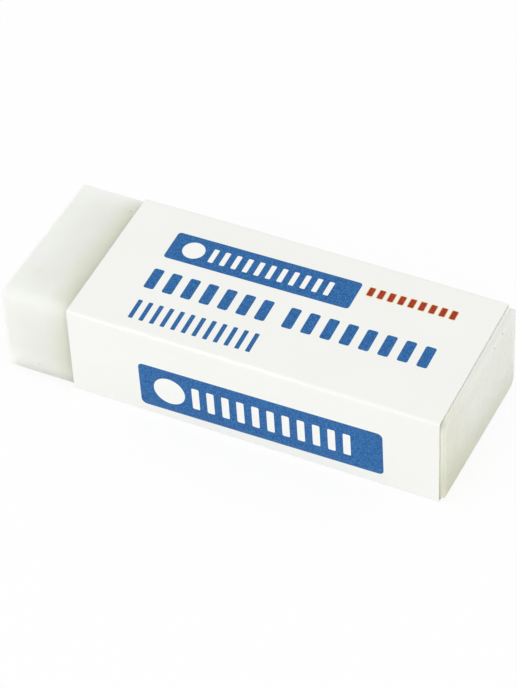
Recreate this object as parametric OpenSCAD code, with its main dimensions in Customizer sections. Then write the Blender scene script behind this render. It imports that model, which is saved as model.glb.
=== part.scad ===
// A white block eraser in its folded card sleeve.
// X runs along the block, Z is up, and the sleeve's underside lies on Z = 0.
// The origin is under the middle of the block. The front is the -Y side.

/* [Block] */
// Length of the block along its middle line
block_len = 58; // [50:0.5:80]
// Width of the block
block_w = 21.1; // [12:0.1:30]
// Height of the block
block_h = 12.5; // [8:0.1:20]
// Radius of the two soft long edges, at the top front and the bottom back
soft_edge_r = 1.35; // [0.5:0.05:3]
// Radius of the two crisp long edges, at the top back and the bottom front
crisp_edge_r = 0.2; // [0.15:0.05:0.5]
// Radius round both cut ends
end_edge_r = 0.3; // [0.1:0.05:0.5]
// How far each cut end leans out of square across the width
end_skew = 0.46; // [0:0.02:1.5]

/* [Sleeve] */
// Length of the card sleeve
sleeve_len = 48.2; // [20:0.1:49]
// Thickness of the card
card_t = 0.25; // [0.15:0.01:0.5]
// Inside radius of the card's four folds, tighter than the block's crisp edges
fold_in_r = 0.15; // [0.05:0.01:0.3]
// Width of the glued flap under the block
flap_w = 9; // [4:0.5:10]
// How far the outer panel's cut edge stops short of the last fold
seam_set_back = 0.3; // [0:0.05:1]

/* [Fit] */
// Clearance between the block and the card on every side
fit_gap = 0.04; // [0.02:0.01:0.3]
// How far the block stands out of the sleeve's far mouth
far_stand_out = 0.89; // [0:0.01:1]

/* [Hidden] */
$fn = 48;

// Outside radius of the folds
fold_out_r = fold_in_r + card_t;

// Inside faces of the sleeve
in_y = block_w / 2 + fit_gap;
floor_z = card_t;
seat_z = floor_z + card_t;
roof_z = seat_z + block_h + 2 * fit_gap;
block_z = seat_z + fit_gap;

// The sleeve's two mouths
far_x = block_len / 2 - far_stand_out;
near_x = far_x - sleeve_len;

// Centres of the four folds in the section, as [y, z]
fold_low_front = [-in_y + fold_in_r, floor_z + fold_in_r];
fold_top_front = [-in_y + fold_in_r, roof_z - fold_in_r];
fold_top_back = [in_y - fold_in_r, roof_z - fold_in_r];
fold_low_back = [in_y - fold_in_r, seat_z + fold_in_r];

// Angle of the cut ends across the block
skew_a = atan(end_skew / block_w);

// Unit vector from p to q
function toward(p, q) = (q - p) / norm(q - p);

// Area to take off corner p so that the sides to a and b meet in an arc of radius r
module corner_waste(a, p, b, r) {
    u = toward(p, a);
    v = toward(p, b);
    half = acos(u * v) / 2;
    reach = r / tan(half);
    centre = p + (u + v) / norm(u + v) * r / sin(half);
    difference() {
        polygon([p, p + u * reach, centre, p + v * reach]);
        translate(centre) circle(r);
    }
}

// Outline with a true arc of its own radius at each corner
module rounded_outline(points, radii) {
    n = len(points);
    difference() {
        polygon(points);
        for (i = [0 : n - 1])
            corner_waste(points[(i + n - 1) % n], points[i], points[(i + 1) % n], radii[i]);
    }
}

// Carries a [y, z] section along X
module along_x(length) {
    rotate([90, 0, 90]) linear_extrude(length) children();
}

// The block's section: soft and crisp long edges lie corner to corner
module block_section() {
    y = block_w / 2;
    rounded_outline(
        [[-y, 0], [y, 0], [y, block_h], [-y, block_h]],
        [crisp_edge_r, soft_edge_r, crisp_edge_r, soft_edge_r]
    );
}

// The block from above, with both ends leaning the same way
module block_plan() {
    x = block_len / 2;
    y = block_w / 2;
    lean = end_skew / 2;
    rounded_outline(
        [[-x - lean, -y], [x - lean, -y], [x + lean, y], [-x + lean, y]],
        [for (i = [0 : 3]) end_edge_r]
    );
}

// The block from its side, measured square to the leaning ends
module block_side() {
    x = block_len / 2 * cos(skew_a);
    rounded_outline(
        [[-x, 0], [x, 0], [x, block_h], [-x, block_h]],
        [for (i = [0 : 3]) end_edge_r]
    );
}

module eraser_block() {
    spare = block_w;
    color([0.94, 0.94, 0.91])
        translate([0, 0, block_z])
            intersection() {
                translate([-block_len, 0, 0]) along_x(2 * block_len) block_section();
                linear_extrude(block_h) block_plan();
                rotate([0, 0, -skew_a])
                    translate([0, spare, 0])
                        rotate([90, 0, 0]) linear_extrude(2 * spare) block_side();
            }
}

// One crease of the card: a quarter ring in the quadrant that starts at angle turn
module fold_section(centre, turn) {
    translate(centre)
        rotate(turn)
            intersection() {
                difference() {
                    circle(fold_out_r);
                    circle(fold_in_r);
                }
                square(fold_out_r);
            }
}

// A flat stretch of the card between two corners of its section
module panel_section(low, high) {
    translate(low) square(high - low);
}

// The card's section, followed from the glued flap round to the outer panel's cut edge
module sleeve_section() {
    out_y = in_y + card_t;
    flap_y = fold_low_back[0];
    panel_section([flap_y - flap_w, floor_z], [flap_y, seat_z]);
    fold_section(fold_low_back, 270);
    panel_section([in_y, fold_low_back[1]], [out_y, fold_top_back[1]]);
    fold_section(fold_top_back, 0);
    panel_section([fold_top_front[0], roof_z], [fold_top_back[0], roof_z + card_t]);
    fold_section(fold_top_front, 90);
    panel_section([-out_y, fold_low_front[1]], [-in_y, fold_top_front[1]]);
    fold_section(fold_low_front, 180);
    panel_section([fold_low_front[0], 0], [flap_y - seam_set_back, floor_z]);
}

module card_sleeve() {
    color([0.96, 0.96, 0.94])
        translate([near_x, 0, 0]) along_x(sleeve_len) sleeve_section();
}

eraser_block();
card_sleeve();
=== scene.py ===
import math

import bpy
import numpy as np
from mathutils import Matrix, Vector, noise
from mathutils.geometry import delaunay_2d_cdt


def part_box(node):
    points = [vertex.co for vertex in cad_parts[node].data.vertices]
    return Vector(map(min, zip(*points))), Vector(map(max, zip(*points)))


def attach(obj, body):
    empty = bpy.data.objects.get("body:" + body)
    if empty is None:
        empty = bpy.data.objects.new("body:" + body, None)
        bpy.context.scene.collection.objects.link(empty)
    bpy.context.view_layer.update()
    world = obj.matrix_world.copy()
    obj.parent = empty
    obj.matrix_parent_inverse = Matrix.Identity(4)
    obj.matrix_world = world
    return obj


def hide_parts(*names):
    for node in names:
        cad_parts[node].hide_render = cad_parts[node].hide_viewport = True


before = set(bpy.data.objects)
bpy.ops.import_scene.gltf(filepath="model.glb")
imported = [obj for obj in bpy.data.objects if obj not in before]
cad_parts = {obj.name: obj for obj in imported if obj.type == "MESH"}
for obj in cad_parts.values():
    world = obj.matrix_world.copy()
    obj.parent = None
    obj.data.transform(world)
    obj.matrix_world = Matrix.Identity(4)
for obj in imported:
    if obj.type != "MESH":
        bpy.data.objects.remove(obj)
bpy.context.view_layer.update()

MM = 0.001

# Sizes of the two pieces, the same as in the model's source
CARD_T = 0.25 * MM
SOFT_R = 1.35 * MM
CRISP_R = 0.2 * MM
END_R = 0.3 * MM
END_SKEW = 0.46 * MM
FLAP_W = 9 * MM
SEAM_SET_BACK = 0.3 * MM
FOLD_IN_R = 0.15 * MM

# The rest of their sizes and their places come from the frame
block_low, block_high = (Vector(corner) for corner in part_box("eraser_block"))
sleeve_low, sleeve_high = (Vector(corner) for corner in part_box("card_sleeve"))
BLOCK_HALF_L = (block_high.x - block_low.x - END_SKEW) / 2
BLOCK_HALF_W = (block_high.y - block_low.y) / 2
BLOCK_H = block_high.z - block_low.z
IN_Y = sleeve_high.y - CARD_T
SEAT_Z = 2 * CARD_T
ROOF_Z = sleeve_high.z - CARD_T

# Spacing of the block's points along it, round it and across its cut ends
RING_STEP = 0.4 * MM
SIDE_STEP = 0.33 * MM
CAP_STEP = 0.45 * MM
# About how far the block's sides and its cut ends sink in unevenly
BLOCK_WAVE = 0.025 * MM
CUT_WAVE = 0.05 * MM
# How far from a cut end's outline its own waves have set in fully
CUT_WAVE_REACH = 1 * MM
# How far the rims reach from the cut ends; light scatters over other lengths in them
RIM_REACH = 1.5 * MM
# Small nicks in the edges of the cut ends: where, how wide and how deep
NICKS = [((-28.9 * MM, 0.9 * MM, 13.0 * MM), 0.5 * MM, 0.16 * MM),
         ((-29.1 * MM, -4.6 * MM, 13.0 * MM), 0.4 * MM, 0.08 * MM),
         ((29.1 * MM, -7.1 * MM, 12.9 * MM), 0.5 * MM, 0.12 * MM)]

# Spacing of the card's points along the sleeve and across its walls
CARD_STEP = 0.5 * MM
# How far each wall of the card stands out more at its middle than at its creases
CROWN = {"top": 0.09 * MM, "front": 0.06 * MM, "back": 0.05 * MM}
# How far the whole card bows out between the mouths, and its ripple on top of that
CARD_BOW = 0.08 * MM
CARD_WAVE = 0.03 * MM
# How far from a mouth the bow and the crowns set in
MOUTH_REACH = 3 * MM
# The bow and the ripple start at this height over the floor and are full at twice it
BOW_FROM = 1.2 * MM

# Colours, written as they look on a screen
VINYL_LIGHT = (233, 235, 229)
VINYL_DULL = (228, 229, 221)
CUT_LIGHT = (240, 241, 234)
CUT_DULL = (234, 235, 226)
CUT_SMEAR = (228, 228, 214)
CUT_SPECK = (110, 92, 70)
CARD_WHITE = (247, 248, 244)
CARD_DULL = (242, 243, 238)
CARD_RAW = (226, 222, 208)
CARD_CORE = (249, 248, 240)
# The creases' bright line: partly rubbed coating, partly a painted highlight
CARD_RUB_AND_HIGHLIGHT = (252, 252, 249)
INK_BLUE = (13, 90, 161)
INK_RED = (164, 26, 0)
INK_YELLOW = (240, 205, 120)
SPECK = (120, 96, 70)
PALE = (253, 252, 246)
FLOOR_COLOUR = (250, 250, 250)


def linear(rgb):
    """The render's own colour for one written in 0 to 255."""
    def channel(value):
        c = value / 255
        return c / 12.92 if c <= 0.04045 else ((c + 0.055) / 1.055) ** 2.4
    return tuple(channel(value) for value in rgb) + (1.0,)


def spread(start, end, step):
    """Evenly spaced values from start to end, about step apart."""
    return np.linspace(start, end, max(2, int(round(abs(end - start) / step)) + 1))


def add_mesh(name, points, faces, slots, materials):
    """A smooth-shaded object from points and faces, with a material index for each face."""
    mesh = bpy.data.meshes.new(name)
    mesh.from_pydata([tuple(p) for p in points], [], faces)
    for material in materials:
        mesh.materials.append(material)
    mesh.polygons.foreach_set("material_index", slots)
    mesh.polygons.foreach_set("use_smooth", [True] * len(faces))
    mesh.update()
    mesh.set_sharp_from_angle(angle=math.radians(50))
    piece = bpy.data.objects.new(name, mesh)
    bpy.context.collection.objects.link(piece)
    return piece


def loft(ring_count, ring_size, closed=True):
    """Faces between neighbouring rings of points that lie one after another."""
    faces = []
    last = ring_size if closed else ring_size - 1
    for ring in range(ring_count - 1):
        low, high = ring * ring_size, (ring + 1) * ring_size
        for i in range(last):
            j = (i + 1) % ring_size
            faces.append((low + i, low + j, high + j, high + i))
    return faces


def wave(place, size, seed):
    """Smooth noise between about -1 and 1, with bumps of the size given."""
    shift = Vector((seed * 7.31, seed * 3.17, seed * 5.73))
    return noise.noise(Vector(place) / size + shift)


# The block

def block_outline(inset):
    """The block's section round its centre, set in by inset, as y and z."""
    half = np.array([BLOCK_HALF_W, BLOCK_H / 2])
    corners = [(-1, -1, CRISP_R), (1, -1, SOFT_R), (1, 1, CRISP_R), (-1, 1, SOFT_R)]
    outwards = [(0, -1), (1, 0), (0, 1), (-1, 0)]
    arc_steps, least_r = 9, inset + 0.02 * MM
    outline = []
    for k, (side, level, radius) in enumerate(corners):
        next_side, next_level, next_radius = corners[(k + 1) % 4]
        steps = max(2, int(round((2 * half[k % 2] - radius - next_radius) / SIDE_STEP)))
        reach, next_reach = max(radius, least_r), max(next_radius, least_r)
        centre = np.array([side, level]) * (half - reach)
        next_centre = np.array([next_side, next_level]) * (half - next_reach)
        first = math.radians(180 + 90 * k)
        for turn in np.linspace(first, first + math.pi / 2, arc_steps):
            outward = np.array([math.cos(turn), math.sin(turn)])
            outline.append(centre + (reach - inset) * outward)
        start = outline[-1]
        end = next_centre + (next_reach - inset) * np.array(outwards[k])
        for share in np.arange(1, steps) / steps:
            outline.append(start + (end - start) * share)
    return np.array(outline)


def block_rings():
    """Each ring as its place along X and how far it is set in."""
    arc = np.radians(np.linspace(0, 90, 6))
    near = [(-BLOCK_HALF_L + END_R * (1 - math.cos(a)), END_R * (1 - math.sin(a))) for a in arc]
    body = spread(-BLOCK_HALF_L + END_R, BLOCK_HALF_L - END_R, RING_STEP)[1:-1]
    return near + [(x, 0) for x in body] + [(-x, inset) for x, inset in reversed(near)]


def depth_inside(y, z):
    """How far a place on a cut end lies inside the end's outline."""
    radius = CRISP_R if (y < 0) == (z < 0) else SOFT_R
    over_y, over_z = abs(y) - BLOCK_HALF_W + radius, abs(z) - BLOCK_H / 2 + radius
    return radius - math.hypot(max(over_y, 0), max(over_z, 0)) - min(max(over_y, over_z), 0)


def cap_fill(outline):
    """An even triangle net for a cut end: its inner points and its faces, counter-clockwise."""
    inner = [(y, z)
             for y in spread(-BLOCK_HALF_W, BLOCK_HALF_W, CAP_STEP)
             for z in spread(-BLOCK_H / 2, BLOCK_H / 2, CAP_STEP)
             if depth_inside(y, z) > END_R + CAP_STEP / 2]
    flat = [Vector(point) / MM for point in [tuple(p) for p in outline] + inner]
    ring = list(range(len(outline)))
    made = delaunay_2d_cdt(flat, [], [ring], 1, 1e-6)
    net, sources = made[2], made[3]
    return inner, [tuple(sources[i][0] for i in face) for face in net]


def lean(y):
    """How far the leaning cut ends lie along X there from where they are in the middle."""
    return END_SKEW * y / (2 * BLOCK_HALF_W)


def block_slot(corners):
    """0 along the sides, 1 and 2 on the near and the far rim, 3 on the cut ends."""
    to_end = max(BLOCK_HALF_L - abs(x - lean(y)) for x, y, _ in corners)
    if to_end < END_R / 4:
        return 3
    if to_end > RIM_REACH:
        return 0
    return 1 if corners[0][0] < 0 else 2


def dent(place):
    """How deep the small nicks go there."""
    return sum(depth * math.exp(-((place - Vector(middle)).length / radius) ** 2)
               for middle, radius, depth in NICKS)


def sink_unevenly(piece, to_rim):
    """Sinks the block's points: a slow wave along the sides, a finer one on the cut ends.

    The second list says how far each point lies inside its cut end's outline."""
    normals = [Vector(v.normal) for v in piece.data.vertices]
    for vertex, normal, inside in zip(piece.data.vertices, normals, to_rim):
        place = vertex.co.copy()
        side_depth = BLOCK_WAVE * (0.6 + 0.7 * wave(place, 5 * MM, 3))
        fine = 0.6 * wave(place, 4 * MM, 1) + 0.3 * wave(place, 1.2 * MM, 2)
        cut_depth = CUT_WAVE * (0.6 + fine)
        share = min(1, inside / CUT_WAVE_REACH)
        depth = max(side_depth * (1 - share) + cut_depth * share, 0)
        vertex.co = place - normal * (depth + dent(place))


def build_block(materials):
    """The whole block: a loft along X with a filled cut end at either side."""
    middle_z = block_low.z + BLOCK_H / 2
    points, to_rim = [], []

    def put(x, y, z, inside):
        points.append((x + lean(y), y, middle_z + z))
        to_rim.append(inside)

    rings = block_rings()
    for x, inset in rings:
        outline = block_outline(inset)
        for y, z in outline:
            put(x, y, z, 0)
    size = len(outline)
    faces = loft(len(rings), size)
    inner, net = cap_fill(block_outline(END_R))
    for side, first in ((-1, 0), (1, (len(rings) - 1) * size)):
        shift = len(points) - size
        for y, z in inner:
            put(side * BLOCK_HALF_L, y, z, depth_inside(y, z))
        for face in net:
            faces.append(tuple(first + i if i < size else shift + i for i in face)[::side])
    slots = [block_slot([points[i] for i in face]) for face in faces]
    piece = add_mesh("eraser_block_skin", points, faces, slots, materials)
    sink_unevenly(piece, to_rim)
    return piece


# The sleeve

def sleeve_path():
    """The card's middle line from the glued flap round to the outer panel's cut edge.

    Each entry is a point as (y, z), the card's outward side there, the stretch's name and
    the share of the stretch that lies behind it."""
    half_t = CARD_T / 2
    low_back = np.array([IN_Y - FOLD_IN_R, SEAT_Z + FOLD_IN_R])
    top_back = np.array([IN_Y - FOLD_IN_R, ROOF_Z - FOLD_IN_R])
    top_front = np.array([-IN_Y + FOLD_IN_R, ROOF_Z - FOLD_IN_R])
    shaded_low_front = np.array([-IN_Y + FOLD_IN_R, CARD_T + FOLD_IN_R])
    path = []

    def panel(name, start, end, outward):
        start, end = np.array(start), np.array(end)
        length = np.linalg.norm(end - start)
        for share in spread(0, 1, CARD_STEP / length):
            path.append((start + (end - start) * share, np.array(outward), name, share))

    def fold(centre, first):
        for share in np.linspace(0, 1, 9)[1:-1]:
            turn = math.radians(first + 90 * share)
            outward = np.array([math.cos(turn), math.sin(turn)])
            path.append((centre + (FOLD_IN_R + half_t) * outward, outward, "fold", share))

    flap_z, top_z, wall_y = SEAT_Z - half_t, ROOF_Z + half_t, IN_Y + half_t
    panel("flap", (low_back[0] - FLAP_W, flap_z), (low_back[0], flap_z), (0, -1))
    fold(low_back, -90)
    panel("back", (wall_y, low_back[1]), (wall_y, top_back[1]), (1, 0))
    fold(top_back, 0)
    panel("top", (top_back[0], top_z), (top_front[0], top_z), (0, 1))
    fold(top_front, 90)
    panel("front", (-wall_y, top_front[1]), (-wall_y, shaded_low_front[1]), (-1, 0))
    fold(shaded_low_front, 180)
    panel("under", (shaded_low_front[0], half_t), (low_back[0] - SEAM_SET_BACK, half_t), (0, -1))
    return path


def card_bulge(x, place, stretch, share):
    """How far the card stands off its true flat there, outward."""
    if stretch in ("under", "flap"):
        return 0
    to_mouth = min(x - sleeve_low.x, sleeve_high.x - x)
    grip = 1 - math.exp(-to_mouth / MOUTH_REACH)
    clear_of_floor = min(1, max(0, place[1] / BOW_FROM - 1))
    ripple = CARD_WAVE * (1 + wave((x, place[0], place[1]), 9 * MM, 4)) / 2
    bow = clear_of_floor * (CARD_BOW + ripple)
    if stretch == "fold":
        return grip * bow
    return grip * (bow + 4 * share * (1 - share) * CROWN[stretch])


def sleeve_rims(size, count, shift):
    """The faces along the two mouths and the two cut edges, from the outer to the inner side."""
    near, far = range(size), range((count - 1) * size, count * size)
    flap_edge, outer_edge = (range(i, count * size, size) for i in (0, size - 1))
    faces = []
    for line, turned in ((near, True), (far, False), (flap_edge, False), (outer_edge, True)):
        for i, j in zip(line, line[1:]):
            face = (i, j, j + shift, i + shift)
            faces.append(face[::-1] if turned else face)
    return faces


def build_sleeve(materials):
    """The card as a closed strip: outer and inner side, two mouths and two cut edges."""
    path = sleeve_path()
    stations = spread(sleeve_low.x, sleeve_high.x, CARD_STEP)
    outer, inner = [], []
    for x in stations:
        for point, outward, stretch, share in path:
            middle = point + outward * card_bulge(x, point, stretch, share)
            outer.append((x, *(middle + outward * CARD_T / 2)))
            inner.append((x, *(middle - outward * CARD_T / 2)))
    size, shift = len(path), len(outer)
    outer_faces = loft(len(stations), size, closed=False)
    inner_faces = [tuple(i + shift for i in reversed(face)) for face in outer_faces]
    cut_faces = sleeve_rims(size, len(stations), shift)
    slot_of = {("top", "top"): 1, ("front", "front"): 2}
    slots = [slot_of.get((path[face[0] % size][2], path[face[1] % size][2]), 0)
             for face in outer_faces]
    slots += [3] * len(inner_faces) + [4] * len(cut_faces)
    faces = outer_faces + inner_faces + cut_faces
    return add_mesh("card_sleeve_skin", outer + inner, faces, slots, materials)


# Shader helpers

def new_material(name):
    material = bpy.data.materials.new(name)
    material.use_nodes = True
    tree = material.node_tree
    return material, tree, tree.nodes["Principled BSDF"]


def feed(tree, socket, value):
    """Links a socket, or sets it to a plain value."""
    if isinstance(value, bpy.types.NodeSocket):
        tree.links.new(value, socket)
    else:
        socket.default_value = value


def calc(tree, operation, *values):
    """The result of a sum on sockets or numbers."""
    node = tree.nodes.new("ShaderNodeMath")
    node.operation = operation
    for socket, value in zip(node.inputs, values):
        feed(tree, socket, value)
    return node.outputs[0]


def times(tree, first, second):
    return calc(tree, "MULTIPLY", first, second)


def blend_colour(tree, share, first, second, blend_type="MIX"):
    node = tree.nodes.new("ShaderNodeMix")
    node.data_type = "RGBA"
    node.blend_type = blend_type
    feed(tree, node.inputs["Factor"], share)
    feed(tree, node.inputs["A"], first)
    feed(tree, node.inputs["B"], second)
    return node.outputs["Result"]


def stain(tree, share, tone, tint):
    """Multiplies a tone by a tint to the share given."""
    return blend_colour(tree, share, tone, (*tint, 1.0), "MULTIPLY")


def object_place(tree, turn=(0, 0, 0)):
    """The place on the piece, in metres, turned by angles in degrees."""
    source = tree.nodes.new("ShaderNodeTexCoord").outputs["Object"]
    mapping = tree.nodes.new("ShaderNodeMapping")
    tree.links.new(source, mapping.inputs["Vector"])
    mapping.inputs["Rotation"].default_value = [math.radians(angle) for angle in turn]
    return mapping.outputs["Vector"]


def split(tree, vector):
    node = tree.nodes.new("ShaderNodeSeparateXYZ")
    tree.links.new(vector, node.inputs[0])
    return node.outputs["X"], node.outputs["Y"], node.outputs["Z"]


def ramp(tree, value, low, high):
    """A smooth step from 0 at low to 1 at high."""
    node = tree.nodes.new("ShaderNodeMapRange")
    node.interpolation_type = "SMOOTHSTEP"
    feed(tree, node.inputs["Value"], value)
    node.inputs["From Min"].default_value = low
    node.inputs["From Max"].default_value = high
    return node.outputs["Result"]


def cloud(tree, place, size, detail=3.0, roughness=0.5):
    """Noise from 0 to 1 with features of the size given, in metres."""
    node = tree.nodes.new("ShaderNodeTexNoise")
    tree.links.new(place, node.inputs["Vector"])
    node.inputs["Scale"].default_value = 1 / size
    node.inputs["Detail"].default_value = detail
    node.inputs["Roughness"].default_value = roughness
    return node.outputs["Fac"]


def specks(tree, place, pitch, radius, rarity):
    """Round specks: 1 inside one, 0 outside, in a random few of the cells."""
    node = tree.nodes.new("ShaderNodeTexVoronoi")
    tree.links.new(place, node.inputs["Vector"])
    node.inputs["Scale"].default_value = 1 / pitch
    near = ramp(tree, node.outputs["Distance"], radius / pitch, 0.6 * radius / pitch)
    lot, _, _ = split(tree, node.outputs["Color"])
    return times(tree, near, calc(tree, "GREATER_THAN", lot, rarity))


def spot(tree, place, middle, radius):
    """1 within the radius of a place, fading to 0 just outside it."""
    node = tree.nodes.new("ShaderNodeVectorMath")
    node.operation = "DISTANCE"
    tree.links.new(place, node.inputs[0])
    node.inputs[1].default_value = middle
    return ramp(tree, node.outputs["Value"], 1.3 * radius, 0.7 * radius)


def bump(tree, shader, height, distance, strength):
    node = tree.nodes.new("ShaderNodeBump")
    node.inputs["Strength"].default_value = strength
    node.inputs["Distance"].default_value = distance
    tree.links.new(height, node.inputs["Height"])
    tree.links.new(node.outputs["Normal"], shader.inputs["Normal"])


# The block's vinyl

# How far light scatters in the sides, the near rim, the far rim and the cut ends
SIDE_SCATTER = 6 * MM
NEAR_RIM_SCATTER = 2.8 * MM
FAR_RIM_SCATTER = 0.4 * MM
CUT_SCATTER = 1.5 * MM
# Painted shade: what the block's tone is multiplied by where the near mouth rests, and how far
# that reaches
BAND_SHADE_TINT = (0.9, 0.9, 0.81)
BAND_REACH = 4 * MM
# Where the painted shade gets weaker: towards the front side and up it, and by how much
BAND_FRONT_Y = (-9 * MM, -10.5 * MM)
BAND_HIGH_Z = (5 * MM, 10 * MM)
BAND_WEAKER = 0.4
# Painted light: the block is paler right where the far mouth rests, over the shade of the mouth's
# gap, in a line that fades over these places, inside and outside the mouth
FAR_PAINTED_LIGHT = (252, 253, 247)
FAR_LINE_IN = (-0.6 * MM, -0.1 * MM)
FAR_LINE_OUT = (0.45 * MM, 0.15 * MM)
# Painted light against the floor's contact shade: the sides get paler down to the block's foot,
# over this height
FOOT_PAINTED_LIGHT = (246, 247, 242)
FOOT_REACH = 4 * MM
# Painted shade: the cut ends and the far rim are darker from this height down, more so towards the
# front, and on their front part
LOW_SHADE_TINT = (0.79, 0.79, 0.7)
LOW_Z = (8 * MM, -2 * MM)
LOW_LEAN = 0.14
FRONT_SHADE_TINT = (0.94, 0.94, 0.87)
FRONT_Y = (-1 * MM, -10 * MM)

# Marks on the cut ends and on the sides: where, how wide, how strong and what colour
CUT_MARKS = [((29.1 * MM, 6.3 * MM, 12.7 * MM), 0.12 * MM, 0.9, SPECK),
             ((29.1 * MM, 3.9 * MM, 12.5 * MM), 0.12 * MM, 0.9, SPECK),
             ((28.9 * MM, -0.9 * MM, 5.5 * MM), 0.13 * MM, 0.7, PALE),
             ((28.9 * MM, -0.2 * MM, 7.3 * MM), 0.15 * MM, 0.6, PALE),
             ((28.9 * MM, -1.6 * MM, 12.6 * MM), 0.15 * MM, 0.6, PALE),
             ((28.8 * MM, -7.2 * MM, 12.3 * MM), 0.3 * MM, 0.35, PALE)]
SIDE_MARKS = [((-20.9 * MM, 8.2 * MM, 13.0 * MM), 0.13 * MM, 0.35, SPECK),
              ((-22.8 * MM, -2.5 * MM, 13.0 * MM), 0.1 * MM, 0.25, SPECK),
              ((-26.4 * MM, -5.6 * MM, 13.0 * MM), 0.1 * MM, 0.15, SPECK),
              ((-24.9 * MM, -10.5 * MM, 2.2 * MM), 0.12 * MM, 0.25, SPECK)]


def painted_mouth_shade(tree, x, y, z):
    """The mask of painted shade: 1 on the block where the near mouth rests, fading out over a few
    millimetres.

    It is weaker high on the front side."""
    out = calc(tree, "SUBTRACT", sleeve_low.x, x)
    outside = ramp(tree, out, BAND_REACH, 0.0)
    inside = ramp(tree, out, -2 * BAND_REACH, -BAND_REACH / 2)
    high_front = times(tree, ramp(tree, y, *BAND_FRONT_Y), ramp(tree, z, *BAND_HIGH_Z))
    strength = calc(tree, "MULTIPLY_ADD", high_front, -BAND_WEAKER, 1.0)
    return times(tree, times(tree, outside, inside), strength)


def painted_far_mouth_light(tree, x):
    """The mask of painted light: 1 on the block right where the far mouth rests, fading out to
    both sides.
    """
    out = calc(tree, "SUBTRACT", x, sleeve_high.x)
    return times(tree, ramp(tree, out, *FAR_LINE_OUT), ramp(tree, out, *FAR_LINE_IN))


def side_tone(tree, x, y, z, tone):
    """The sides' tone: painted light at the foot and where the far mouth rests, painted shade
    where the near one rests.
    """
    # Painted light at the foot, against the floor's contact shade
    painted_foot_light = ramp(tree, z, block_low.z + FOOT_REACH, block_low.z)
    tone = blend_colour(tree, painted_foot_light, tone, linear(FOOT_PAINTED_LIGHT))
    # Painted shade where the near mouth rests
    tone = stain(tree, painted_mouth_shade(tree, x, y, z), tone, BAND_SHADE_TINT)
    # Painted light where the far mouth rests, over the gap's shade
    return blend_colour(tree, painted_far_mouth_light(tree, x), tone, linear(FAR_PAINTED_LIGHT))


def paint_low_front_shade(tree, y, z, tone):
    """A cut end's tone with painted shade: darker towards its foot and on its front part."""
    leaning = calc(tree, "MULTIPLY_ADD", y, LOW_LEAN, z)
    tone = stain(tree, ramp(tree, leaning, *LOW_Z), tone, LOW_SHADE_TINT)
    return stain(tree, ramp(tree, y, *FRONT_Y), tone, FRONT_SHADE_TINT)


def cut_surface(tree, place, tone):
    """A cut end's tone with smears and dark specks, and the height of its smears and pits."""
    smear = ramp(tree, cloud(tree, place, 1.6 * MM, detail=5.0, roughness=0.65), 0.35, 0.7)
    tone = blend_colour(tree, times(tree, smear, 0.5), tone, linear(CUT_SMEAR))
    pits = specks(tree, place, pitch=1.1 * MM, radius=0.12 * MM, rarity=0.8)
    dark = specks(tree, place, pitch=3.1 * MM, radius=0.13 * MM, rarity=0.82)
    tone = blend_colour(tree, times(tree, dark, 0.75), tone, linear(CUT_SPECK))
    return tone, calc(tree, "SUBTRACT", times(tree, smear, 1.2), pits)


def vinyl_material(name, scatter, cut=False, shaded_low_front=False):
    """Soft white vinyl in which light scatters over the length given.

    Cut is for the cut ends, and the last flag for what gets painted shade, darker at its foot and
    its front."""
    material, tree, shader = new_material(name)
    place = object_place(tree)
    x, y, z = split(tree, place)
    broad = cloud(tree, place, 5 * MM, detail=2.0)
    fine = cloud(tree, place, 0.9 * MM, detail=4.0, roughness=0.6)
    dull, light = (CUT_DULL, CUT_LIGHT) if cut else (VINYL_DULL, VINYL_LIGHT)
    tone = blend_colour(tree, broad, linear(dull), linear(light))
    dust = specks(tree, place, pitch=2.6 * MM, radius=0.07 * MM, rarity=0.9)
    tone = blend_colour(tree, times(tree, dust, 0.2), tone, linear(SPECK))
    if cut:
        tone, height = cut_surface(tree, place, tone)
    else:
        tone, height = side_tone(tree, x, y, z, tone), fine
    # Painted shade, darker at the foot and on the front part
    if shaded_low_front:
        tone = paint_low_front_shade(tree, y, z, tone)
    for middle, radius, share, colour in CUT_MARKS if cut else SIDE_MARKS:
        mark = times(tree, spot(tree, place, middle, radius), share)
        tone = blend_colour(tree, mark, tone, linear(colour))
    tree.links.new(tone, shader.inputs["Base Color"])
    rough = calc(tree, "MULTIPLY_ADD", fine, 0.16, 0.5)
    tree.links.new(rough, shader.inputs["Roughness"])
    shader.inputs["Specular IOR Level"].default_value = 0.35
    shader.inputs["Subsurface Weight"].default_value = 1.0
    shader.inputs["Subsurface Radius"].default_value = (0.9, 0.9, 1.1)
    shader.inputs["Subsurface Scale"].default_value = scatter
    bump(tree, shader, height, 0.05 * MM if cut else 0.02 * MM, strength=0.7)
    return material


# The card

# Along which stretch of X the creases' bright line, partly rubbed coating and partly painted
# highlight, fades in, and how strong it is at either end
CREASE_LINE_FADE_X = (20 * MM, 5 * MM)
CREASE_LINE_FAINT = 0.3
CREASE_LINE_FULL = 0.8


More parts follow.
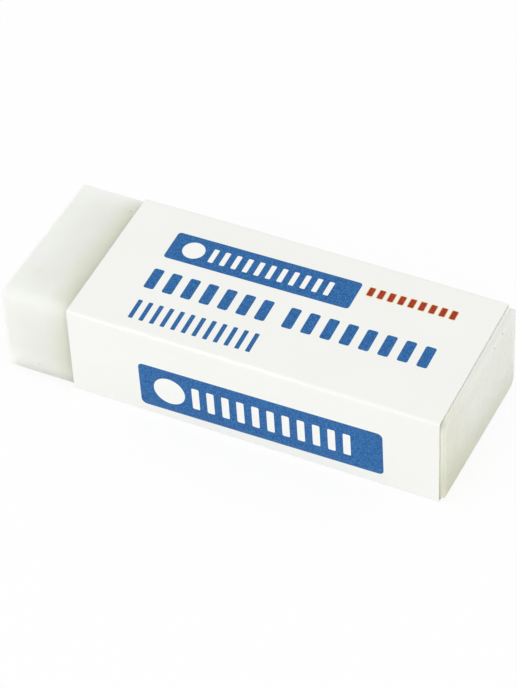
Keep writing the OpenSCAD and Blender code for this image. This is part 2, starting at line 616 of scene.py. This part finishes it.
def coated_card_material(name, ink):
    """White clay-coated card with faint fibre, slight tone changes and dust.

    The function ink puts on it what is printed there, or the creases' line of rubbing and painted
    highlight."""
    material, tree, shader = new_material(name)
    place = object_place(tree)
    broad = cloud(tree, place, 11 * MM)
    fibre = cloud(tree, place, 0.3 * MM, detail=4.0, roughness=0.65)
    tone = blend_colour(tree, broad, linear(CARD_DULL), linear(CARD_WHITE))
    thick = calc(tree, "MULTIPLY_ADD", ramp(tree, fibre, 0.35, 0.6), 0.25, 0.75)
    tone = blend_colour(tree, thick, linear(CARD_DULL), tone)
    dust = specks(tree, place, pitch=3.4 * MM, radius=0.08 * MM, rarity=0.9)
    tone = blend_colour(tree, times(tree, dust, 0.25), tone, linear(SPECK))
    tone = ink(tree, tone, cloud(tree, place, 0.16 * MM, detail=2.0))
    gloss = calc(tree, "MULTIPLY_ADD", fibre, 0.14, 0.38)
    tree.links.new(tone, shader.inputs["Base Color"])
    tree.links.new(gloss, shader.inputs["Roughness"])
    shader.inputs["Specular IOR Level"].default_value = 0.25
    bump(tree, shader, fibre, 0.012 * MM, strength=0.6)
    return material


def crease_rub_and_highlight(tree, place):
    """The thin bright line that wanders along each fold, partly rubbed coating and partly painted
    highlight, fainter towards the far mouth.
    """
    x, y, z = split(tree, place)
    beyond_y = calc(tree, "SUBTRACT", calc(tree, "ABSOLUTE", y), IN_Y - FOLD_IN_R)
    above = calc(tree, "SUBTRACT", z, ROOF_Z - FOLD_IN_R)
    below = calc(tree, "SUBTRACT", CARD_T + FOLD_IN_R, z)
    beyond_z = calc(tree, "MAXIMUM", above, below)
    turn = calc(tree, "DIVIDE", calc(tree, "ARCTAN2", beyond_z, beyond_y), math.pi / 2)
    wander = times(tree, cloud(tree, place, 2.5 * MM, detail=4.0, roughness=0.7), 0.9)
    off = calc(tree, "ABSOLUTE", calc(tree, "SUBTRACT", turn, wander))
    uneven = cloud(tree, place, 1.1 * MM, detail=4.0, roughness=0.7)
    width = calc(tree, "MULTIPLY_ADD", uneven, 1.1, -0.35)
    line = ramp(tree, calc(tree, "SUBTRACT", width, off), -0.1, 0.1)
    fade = ramp(tree, x, *CREASE_LINE_FADE_X)
    strength = calc(tree, "MULTIPLY_ADD", fade, CREASE_LINE_FULL - CREASE_LINE_FAINT, CREASE_LINE_FAINT)
    return times(tree, line, strength)


def creases_rub_and_highlight(tree, tone, _):
    """What the card shows where nothing is printed: the creases' line, partly rubbed coating and
    partly painted highlight.
    """
    line = crease_rub_and_highlight(tree, object_place(tree))
    return blend_colour(tree, line, tone, linear(CARD_RUB_AND_HIGHLIGHT))


def raw_card_material(name, colour, grain):
    """Uncoated board, on the inside and along the cut edges."""
    material, tree, shader = new_material(name)
    fibre = cloud(tree, object_place(tree), grain, detail=5.0, roughness=0.65)
    dark = linear([0.95 * c for c in colour])
    tone = blend_colour(tree, fibre, dark, linear(colour))
    tree.links.new(tone, shader.inputs["Base Color"])
    rough = calc(tree, "MULTIPLY_ADD", fibre, 0.1, 0.85)
    tree.links.new(rough, shader.inputs["Roughness"])
    bump(tree, shader, fibre, 0.03 * MM, strength=0.7)
    return material


# The print: each field by its middle and size along the sleeve and across it

TOP_TILT = 0.8
FRONT_TILT = 0.9
TOP_PANEL = dict(middle=(-1.2 * MM, 4.53 * MM), size=(24.4 * MM, 4.75 * MM), radius=0.45 * MM)
FRONT_PANEL = dict(middle=(5.27 * MM, 5.08 * MM), size=(31.85 * MM, 6.9 * MM), radius=0.7 * MM)
BOLD_STROKES = [dict(middle=(-5.45 * MM, -1.75 * MM), size=(15.9 * MM, 3.5 * MM),
                     count=7, width=1.35 * MM),
                dict(middle=(14.0 * MM, -1.8 * MM), size=(18.6 * MM, 3.5 * MM),
                     count=8, width=1.35 * MM)]
THIN_STROKES = dict(middle=(-4.95 * MM, -7.2 * MM), size=(15.9 * MM, 3.2 * MM),
                    count=12, width=0.58 * MM)
RED_STROKES = dict(middle=(17.7 * MM, 5.9 * MM), size=(11.3 * MM, 1.45 * MM),
                   count=9, width=0.72 * MM)
# How far the red's yellow undercolour shows round it
HALO = 0.09 * MM
# Over what width a printed edge fades
INK_BLUR = 0.05 * MM
# How much white shows through where the ink is thin, and its tone's share where it is dense
INK_THIN = 0.15
INK_DEEP = 0.91
# In a panel, as shares of its length: the dot's place from the middle, the row's place and length
DOT_PLACE = -0.375
ROW_PLACE = 0.045
ROW_LENGTH = 0.65
# And as shares of its height: the dot's width, the row's height and its strokes' width
DOT_WIDTH = 0.6
ROW_HEIGHT = 0.5
ROW_STROKE = 0.14
ROW_COUNT = 11


def rounded_field(tree, u, v, middle, size, radius):
    """1 inside a rounded rectangle and 0 outside it."""
    across = calc(tree, "ABSOLUTE", calc(tree, "SUBTRACT", u, middle[0]))
    along = calc(tree, "ABSOLUTE", calc(tree, "SUBTRACT", v, middle[1]))
    q_u = calc(tree, "SUBTRACT", across, size[0] / 2 - radius)
    q_v = calc(tree, "SUBTRACT", along, size[1] / 2 - radius)
    out_u = calc(tree, "MAXIMUM", q_u, 0.0)
    out_v = calc(tree, "MAXIMUM", q_v, 0.0)
    squares = calc(tree, "ADD", times(tree, out_u, out_u), times(tree, out_v, out_v))
    inside = calc(tree, "MINIMUM", calc(tree, "MAXIMUM", q_u, q_v), 0.0)
    distance = calc(tree, "ADD", calc(tree, "SQRT", squares), inside)
    return ramp(tree, distance, radius + INK_BLUR / 2, radius - INK_BLUR / 2)


def strokes(tree, u, v, middle, size, count, width):
    """1 on a row of even, equally spaced upright strokes."""
    pitch = (size[0] - width) / (count - 1)
    up = calc(tree, "SUBTRACT", v, middle[1])
    along = calc(tree, "SUBTRACT", u, middle[0])
    from_start = calc(tree, "ADD", along, count * pitch / 2)
    repeated = calc(tree, "FLOORED_MODULO", from_start, pitch)
    in_pitch = calc(tree, "SUBTRACT", repeated, pitch / 2)
    stroke = rounded_field(tree, in_pitch, up, (0, 0), (width, size[1]), width / 5)
    inside = calc(tree, "LESS_THAN", calc(tree, "ABSOLUTE", along), count * pitch / 2)
    return times(tree, stroke, inside)


def lay_ink(tree, tone, grain, field, colour):
    """Prints one field: the ink is thin where the card's grain stands up and dense between."""
    dense = ramp(tree, grain, 0.62, 0.38)
    thin = linear([c + INK_THIN * (255 - c) for c in colour])
    deep = linear([INK_DEEP * c for c in colour])
    return blend_colour(tree, field, tone, blend_colour(tree, dense, thin, deep))


def printed_panel(tree, u, v, tone, grain, panel):
    """A blue rounded field with a white dot and a row of upright white strokes in it."""
    tone = lay_ink(tree, tone, grain, rounded_field(tree, u, v, **panel), INK_BLUE)
    (mid_u, mid_v), (length, height) = panel["middle"], panel["size"]
    dot_width = DOT_WIDTH * height
    dot_middle = (mid_u + DOT_PLACE * length, mid_v)
    dot = rounded_field(tree, u, v, dot_middle, (dot_width, dot_width), dot_width / 2)
    row_middle = (mid_u + ROW_PLACE * length, mid_v)
    row_size = (ROW_LENGTH * length, ROW_HEIGHT * height)
    row = strokes(tree, u, v, row_middle, row_size, ROW_COUNT, ROW_STROKE * height)
    return blend_colour(tree, calc(tree, "MAXIMUM", dot, row), tone, linear(CARD_WHITE))


def top_print(tree, tone, grain):
    u, v, _ = split(tree, object_place(tree, (0, 0, -TOP_TILT)))
    tone = printed_panel(tree, u, v, tone, grain, TOP_PANEL)
    for row in BOLD_STROKES + [THIN_STROKES]:
        tone = lay_ink(tree, tone, grain, strokes(tree, u, v, **row), INK_BLUE)
    (length, height), width = RED_STROKES["size"], RED_STROKES["width"]
    under = dict(RED_STROKES, size=(length + 2 * HALO, height + 2 * HALO), width=width + 2 * HALO)
    tone = lay_ink(tree, tone, grain, strokes(tree, u, v, **under), INK_YELLOW)
    return lay_ink(tree, tone, grain, strokes(tree, u, v, **RED_STROKES), INK_RED)


def front_print(tree, tone, grain):
    u, _, v = split(tree, object_place(tree, (0, FRONT_TILT, 0)))
    return printed_panel(tree, u, v, tone, grain, FRONT_PANEL)


# Stage, light and camera

FLOOR_HALF = 1.5
# The floor lies a hair under the card, so that the two never share one plane
FLOOR_Z = -0.01 * MM
# Share of plain white in the floor as the camera sees it
FLOOR_GLOW = 0.88
SKY_STRENGTH = 0.86
# Where the two square lights stand, how wide they are and their power
KEY_LIGHT = dict(azimuth=-30, elevation=32, distance=0.8, size=0.7, power=1.25)
SIDE_LIGHT = dict(azimuth=80, elevation=55, distance=0.8, size=0.7, power=0.45)
# The photo's view
AIM = Vector((0.2, -0.6, 6.15)) * MM
VIEW_AZIMUTH = 26.99
VIEW_ELEVATION = 45.01
VIEW_ROLL = -2.98
VIEW_DISTANCE = 371.6 * MM
FOCAL_PX = 3067.8
PHOTO_H_PX = 688


def looking_at(azimuth, elevation, distance, roll=0):
    """Where something stands that looks at the object; azimuth 0 is from -Y, 90 from +X."""
    az, el = math.radians(azimuth), math.radians(elevation)
    back = Vector((math.sin(az) * math.cos(el), -math.cos(az) * math.cos(el), math.sin(el)))
    turn = (-back).to_track_quat("-Z", "Y").to_matrix().to_4x4()
    tilt = Matrix.Rotation(math.radians(roll), 4, "Z")
    return Matrix.Translation(AIM + back * distance) @ turn @ tilt


def floor_material():
    """Matt white that keeps the object's shadow and looks nearly plain white to the camera."""
    material, tree, shader = new_material("floor_white")
    shader.inputs["Base Color"].default_value = linear(FLOOR_COLOUR)
    shader.inputs["Roughness"].default_value = 0.9
    shader.inputs["Specular IOR Level"].default_value = 0.1
    glow = tree.nodes.new("ShaderNodeEmission")
    mixer = tree.nodes.new("ShaderNodeMixShader")
    seen = tree.nodes.new("ShaderNodeLightPath").outputs["Is Camera Ray"]
    tree.links.new(times(tree, seen, FLOOR_GLOW), mixer.inputs["Fac"])
    tree.links.new(shader.outputs["BSDF"], mixer.inputs[1])
    tree.links.new(glow.outputs["Emission"], mixer.inputs[2])
    tree.links.new(mixer.outputs["Shader"], tree.nodes["Material Output"].inputs["Surface"])
    return material


def add_floor():
    mesh = bpy.data.meshes.new("floor")
    corners = [(FLOOR_HALF * x, FLOOR_HALF * y, FLOOR_Z)
               for x, y in ((-1, -1), (1, -1), (1, 1), (-1, 1))]
    mesh.from_pydata(corners, [], [(0, 1, 2, 3)])
    mesh.materials.append(floor_material())
    floor = bpy.data.objects.new("floor", mesh)
    bpy.context.collection.objects.link(floor)


def add_softbox(name, azimuth, elevation, distance, size, power):
    """A square area light that looks at the object from the direction given."""
    lamp = bpy.data.lights.new(name, "AREA")
    lamp.shape = "SQUARE"
    lamp.size = size
    lamp.energy = power
    box = bpy.data.objects.new(name, lamp)
    box.matrix_world = looking_at(azimuth, elevation, distance)
    bpy.context.collection.objects.link(box)


def add_world():
    world = bpy.data.worlds.new("studio")
    bpy.context.scene.world = world
    world.use_nodes = True
    sky = world.node_tree.nodes["Background"]
    sky.inputs["Color"].default_value = (1, 1, 1, 1)
    sky.inputs["Strength"].default_value = SKY_STRENGTH


def add_camera():
    lens = bpy.data.cameras.new("photo_view")
    lens.lens = FOCAL_PX * lens.sensor_width / PHOTO_H_PX
    camera = bpy.data.objects.new("photo_view", lens)
    camera.matrix_world = looking_at(VIEW_AZIMUTH, VIEW_ELEVATION, VIEW_DISTANCE, VIEW_ROLL)
    bpy.context.collection.objects.link(camera)
    bpy.context.scene.camera = camera


def dress_block():
    """The materials come in the order of block_slot's numbers."""
    block = build_block([
        vinyl_material("vinyl_side", SIDE_SCATTER),
        vinyl_material("vinyl_near_rim", NEAR_RIM_SCATTER),
        vinyl_material("vinyl_far_rim", FAR_RIM_SCATTER, shaded_low_front=True),
        vinyl_material("vinyl_cut", CUT_SCATTER, cut=True, shaded_low_front=True),
    ])
    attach(block, "block")
    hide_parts("eraser_block")


def dress_sleeve():
    """The materials come in the order of build_sleeve's slots."""
    sleeve = build_sleeve([
        coated_card_material("card_coated", creases_rub_and_highlight),
        coated_card_material("card_top_print", top_print),
        coated_card_material("card_front_print", front_print),
        raw_card_material("card_inside", CARD_RAW, grain=0.5 * MM),
        raw_card_material("card_cut_edge", CARD_CORE, grain=0.2 * MM),
    ])
    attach(sleeve, "sleeve")
    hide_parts("card_sleeve")


add_camera()
dress_block()
dress_sleeve()
add_floor()
add_world()
add_softbox("key", **KEY_LIGHT)
add_softbox("side", **SIDE_LIGHT)
bpy.context.scene.view_settings.view_transform = "Standard"
